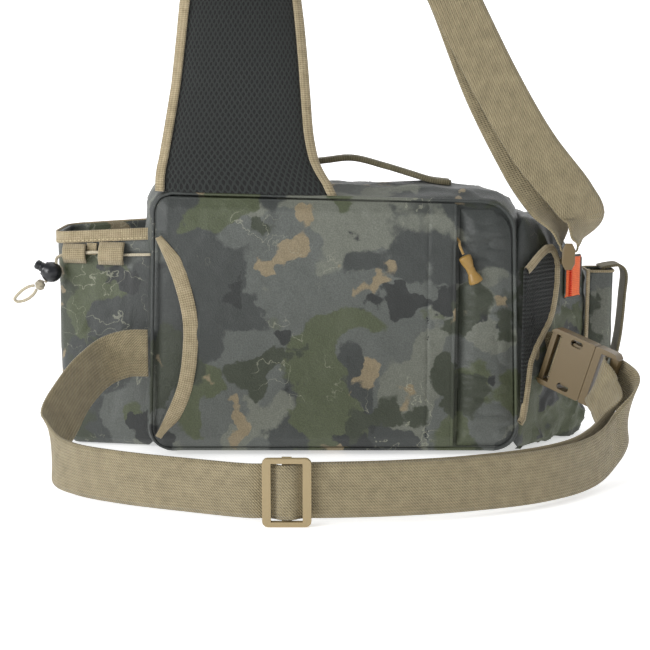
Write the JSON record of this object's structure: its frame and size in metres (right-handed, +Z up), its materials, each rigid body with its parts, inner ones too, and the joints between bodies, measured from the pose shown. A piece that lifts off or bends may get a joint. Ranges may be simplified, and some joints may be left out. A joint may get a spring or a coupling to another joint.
{
  "type": "fishing tackle sling bag",
  "caption": "Rounded camouflage tackle bag with one padded shoulder strap, a buckled waist belt, an angled end pouch and a bottle pocket with a drawcord.",
  "frame": {"origin": "inner side of the shoulder strap at the top of its arch, where the bag hangs", "axes": "+Z up, +X to the right as seen by a viewer facing the back panel, +Y away from that viewer, from the back panel through the bag"},
  "size_m": [0.5337, 0.3093, 0.555],
  "materials": {
    "camo_fabric": "coated satin weave, camouflage",
    "webbing": "woven tan webbing",
    "binding_tape": "ribbed tan tape",
    "buckle_plastic": "moulded satin tan",
    "pull_rubber": "satin golden tan",
    "air_mesh": "black open mesh over foam",
    "cord": "cream braided cord",
    "lock_plastic": "satin black",
    "orange_zip": "orange tape with red teeth",
    "dark_tape": "dark woven tape",
    "olive_webbing": "dark olive webbing"
  },
  "bodies": {
    "bag": {"bag_body": "camo_fabric", "back_panel": "camo_fabric", "left_edge_binding": "binding_tape", "back_side_panel": "camo_fabric", "back_seam_piping": "dark_tape", "back_zip": "dark_tape", "zip_slider": "pull_rubber", "zip_pull_cord": "pull_rubber", "zip_pull_grip": "pull_rubber", "carry_handle": "olive_webbing", "end_pouch": "camo_fabric", "end_zip": "orange_zip", "pouch_piping": "binding_tape", "right_pocket": "camo_fabric", "right_webbing_loop": "olive_webbing", "right_wing": "air_mesh", "wing_binding": "binding_tape", "wing_top_binding": "binding_tape", "strap_buckle": "buckle_plastic", "wing_webbing_tab": "webbing", "strap_slider": "buckle_plastic", "strap_front_layer": "webbing", "strap_back_layer": "webbing", "shoulder_pad": "air_mesh", "pad_binding_left": "binding_tape", "pad_binding_right": "binding_tape", "waist_belt_outer": "webbing", "waist_belt_inner": "webbing", "belt_slider": "buckle_plastic", "belt_buckle_female": "buckle_plastic", "belt_buckle_male": "buckle_plastic", "buckle_webbing_loop": "webbing", "left_pocket": "camo_fabric", "pocket_hem": "binding_tape", "pocket_tab_left": "binding_tape", "pocket_tab_middle": "binding_tape", "pocket_tab_right": "binding_tape", "drawcord": "cord", "drawcord_tail": "cord", "cord_lock_barrel": "lock_plastic", "drawcord_knot": "cord", "drawcord_loop": "cord"},
    "cord_lock_button": {"cord_lock_button": "lock_plastic"}
  },
  "joints": [
    {"name": "cord_lock_press", "type": "slide", "parent": "bag", "child": "cord_lock_button", "axis": [0.8713, 0, -0.4907], "range_m": [0, 0.004], "stiffness_N_per_m": 150, "springref_m": -0.002}
  ]
}
